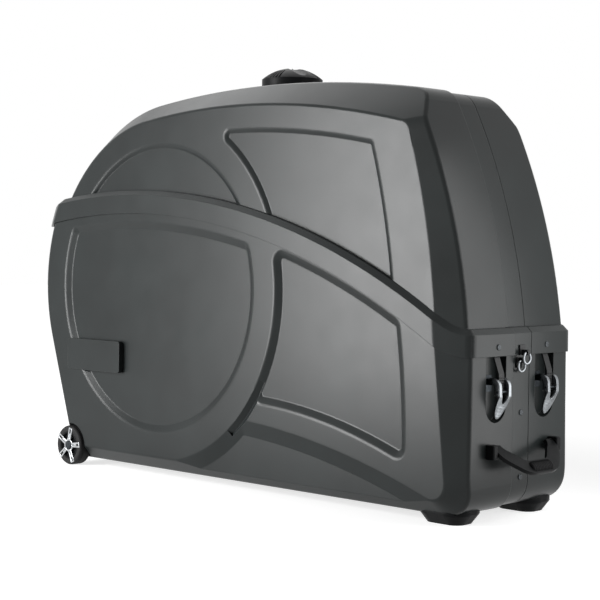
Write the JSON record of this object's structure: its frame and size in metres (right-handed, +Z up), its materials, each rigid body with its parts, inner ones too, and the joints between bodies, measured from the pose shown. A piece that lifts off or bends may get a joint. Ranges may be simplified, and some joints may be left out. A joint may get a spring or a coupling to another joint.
{
  "type": "bike travel case",
  "caption": "Hard two-part bike travel case: a moulded tub on wheels and feet, with a lift-off lid held by over-centre latches, a carry handle and a top knob over an anti-crush pole.",
  "frame": {"origin": "on the floor, under the middle of the case's box", "axes": "+X along the case to the end with the carry handle, +Y across to the far side, +Z up"},
  "size_m": [1.422, 0.39, 0.9443],
  "materials": {
    "moulded_abs": "fine moulded grain, charcoal grey",
    "rivet_steel": "plain domed steel",
    "zinc_steel": "zinc plated",
    "satin_lever": "satin cast metal",
    "strap_nylon": "black ribbed nylon",
    "chrome_fitting": "bright plated",
    "chrome_hub": "bright plated",
    "tyre_rubber": "matte black rubber",
    "grip_rubber": "soft matte black",
    "black_plastic": "black moulded plastic",
    "rail_aluminium": "mill finish"
  },
  "bodies": {
    "base": {"base_near_shell": "moulded_abs", "base_far_shell": "moulded_abs", "base_centre_strip": "moulded_abs", "base_strip_rivets": "rivet_steel", "latch_pivot_pins": "zinc_steel", "near_wheel_axle": "zinc_steel", "far_wheel_axle": "zinc_steel", "near_wheel_housing": "black_plastic", "far_wheel_housing": "black_plastic", "near_front_foot": "black_plastic", "far_front_foot": "black_plastic", "near_handle_block": "black_plastic", "far_handle_block": "black_plastic", "handle_pins": "zinc_steel", "base_lock_eye": "chrome_fitting", "base_lock_ring": "chrome_fitting", "side_plate": "moulded_abs", "support_pole": "rail_aluminium", "pole_plug": "black_plastic", "pole_socket": "rail_aluminium", "floor_rail": "rail_aluminium", "fork_mount": "rail_aluminium", "fork_skewer": "zinc_steel", "frame_cradle": "black_plastic", "cradle_pad": "grip_rubber", "front_near_latch_bracket": "zinc_steel", "front_far_latch_bracket": "zinc_steel", "rear_near_latch_bracket": "zinc_steel", "rear_far_latch_bracket": "zinc_steel"},
    "lid": {"lid_near_shell": "moulded_abs", "lid_far_shell": "moulded_abs", "lid_centre_strip": "moulded_abs", "latch_strap_rivets": "rivet_steel", "lid_lock_eye": "chrome_fitting", "knob_plate": "black_plastic", "pole_cup": "black_plastic", "front_near_latch_strap": "strap_nylon", "front_far_latch_strap": "strap_nylon", "rear_near_latch_strap": "strap_nylon", "rear_far_latch_strap": "strap_nylon"},
    "knob": {"top_knob": "black_plastic", "knob_stud": "zinc_steel"},
    "lid_ring": {"lid_lock_ring": "chrome_fitting"},
    "near_wheel": {"near_wheel_tyre": "tyre_rubber", "near_wheel_hub": "chrome_hub"},
    "far_wheel": {"far_wheel_tyre": "tyre_rubber", "far_wheel_hub": "chrome_hub"},
    "handle": {"handle_bail": "black_plastic", "handle_grip": "grip_rubber"},
    "near_nut": {"near_skewer_nut": "black_plastic"},
    "far_nut": {"far_skewer_nut": "black_plastic"},
    "front_near_lever": {"front_near_latch_lever": "satin_lever", "front_near_clamp_pin": "zinc_steel"},
    "front_far_lever": {"front_far_latch_lever": "satin_lever", "front_far_clamp_pin": "zinc_steel"},
    "rear_near_lever": {"rear_near_latch_lever": "satin_lever", "rear_near_clamp_pin": "zinc_steel"},
    "rear_far_lever": {"rear_far_latch_lever": "satin_lever", "rear_far_clamp_pin": "zinc_steel"}
  },
  "joints": [
    {"name": "lid_lift", "type": "slide", "parent": "base", "child": "lid", "axis": [0, 0, 1], "range_m": [0, 0.6]},
    {"name": "knob_turn", "type": "hinge", "parent": "lid", "child": "knob", "pos_m": [0.00015, 0, 0.9], "axis": [0, 0, 1], "continuous": true},
    {"name": "lid_ring_swing", "type": "hinge", "parent": "lid", "child": "lid_ring", "pos_m": [0.66365, -0.002, 0.336], "axis": [0, -1, 0], "range_deg": [0, 120]},
    {"name": "near_wheel_spin", "type": "hinge", "parent": "base", "child": "near_wheel", "pos_m": [-0.57085, -0.175, 0.048], "axis": [0, 1, 0], "continuous": true},
    {"name": "far_wheel_spin", "type": "hinge", "parent": "base", "child": "far_wheel", "pos_m": [-0.57085, 0.175, 0.048], "axis": [0, 1, 0], "continuous": true},
    {"name": "handle_swing", "type": "hinge", "parent": "base", "child": "handle", "pos_m": [0.66215, 0, 0.146], "axis": [0, -1, 0], "range_deg": [0, 94]},
    {"name": "near_nut_turn", "type": "hinge", "parent": "base", "child": "near_nut", "pos_m": [0.32015, -0.06, 0.134], "axis": [0, 1, 0], "continuous": true},
    {"name": "far_nut_turn", "type": "hinge", "parent": "base", "child": "far_nut", "pos_m": [0.32015, 0.06, 0.134], "axis": [0, 1, 0], "continuous": true},
    {"name": "front_near_latch_open", "type": "hinge", "parent": "base", "child": "front_near_lever", "pos_m": [0.65335, -0.083, 0.281], "axis": [0, -1, 0], "range_deg": [0, 105]},
    {"name": "front_far_latch_open", "type": "hinge", "parent": "base", "child": "front_far_lever", "pos_m": [0.64915, 0.083, 0.281], "axis": [0, -1, 0], "range_deg": [0, 105]},
    {"name": "rear_near_latch_open", "type": "hinge", "parent": "base", "child": "rear_near_lever", "pos_m": [-0.68705, -0.083, 0.543], "axis": [0, 1, 0], "range_deg": [0, 105]},
    {"name": "rear_far_latch_open", "type": "hinge", "parent": "base", "child": "rear_far_lever", "pos_m": [-0.68285, 0.083, 0.543], "axis": [0, 1, 0], "range_deg": [0, 105]}
  ]
}
